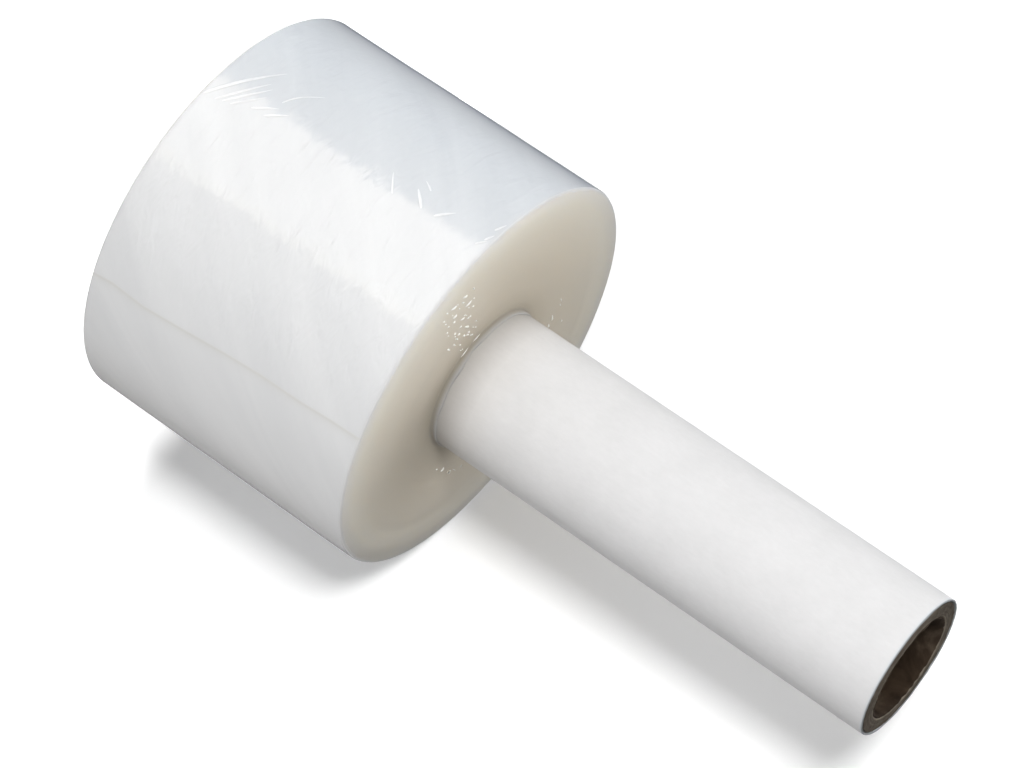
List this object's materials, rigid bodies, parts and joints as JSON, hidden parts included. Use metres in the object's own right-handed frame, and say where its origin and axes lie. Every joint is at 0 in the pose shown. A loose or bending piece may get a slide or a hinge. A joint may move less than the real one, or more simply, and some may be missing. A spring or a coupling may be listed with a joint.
{
  "type": "stretch wrap roll",
  "caption": "Hand roll of milky stretch film wound tight on a long paper core, whose bare end sticks out of the roll as a handle.",
  "frame": {"origin": "centre of the roll's flat end, on the surface it stands on", "axes": "+Z along the core's axis, from the flat end of the film to the free end of the handle; the film's free edge lies 56 degrees from +X towards -Y"},
  "size_m": [0.1006, 0.1008, 0.1962],
  "materials": {
    "film": "glossy and faintly milky, with fine wrinkles along the roll",
    "board": "matt grey-brown board",
    "white_paper": "matt white paper",
    "brown_paper": "matt brown paper"
  },
  "bodies": {
    "root": {"film_roll": "film", "core_tube": "board", "outer_ply": "white_paper", "inner_liner": "brown_paper"}
  },
  "joints": []
}
